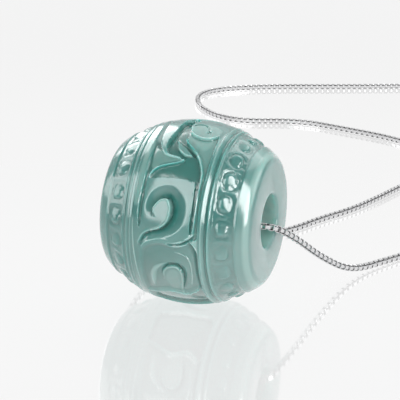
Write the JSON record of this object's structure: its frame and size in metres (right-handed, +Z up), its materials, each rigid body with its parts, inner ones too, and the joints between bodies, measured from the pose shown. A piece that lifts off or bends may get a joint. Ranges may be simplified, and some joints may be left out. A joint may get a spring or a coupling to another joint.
{
  "type": "carved jade barrel bead pendant on a box chain necklace",
  "caption": "Carved barrel bead with pearl bands, ridge lines and cloud scrolls, threaded on a fine closed box chain that lies on a surface.",
  "frame": {"origin": "point of the bead's belly that rests on the surface, under the middle of the bead", "axes": "+Z up from the surface, +X along the bead's bore towards the end that the picture shows, +Y away from the viewer"},
  "size_m": [0.1437, 0.1158, 0.018],
  "materials": {
    "jade": "polished translucent blue-green jade",
    "silver_chain": "polished silver, diamond-cut links",
    "silver_clasp": "polished silver"
  },
  "bodies": {
    "root": {"jade_barrel": "jade", "box_chain": "silver_chain", "clasp": "silver_clasp"}
  },
  "joints": []
}
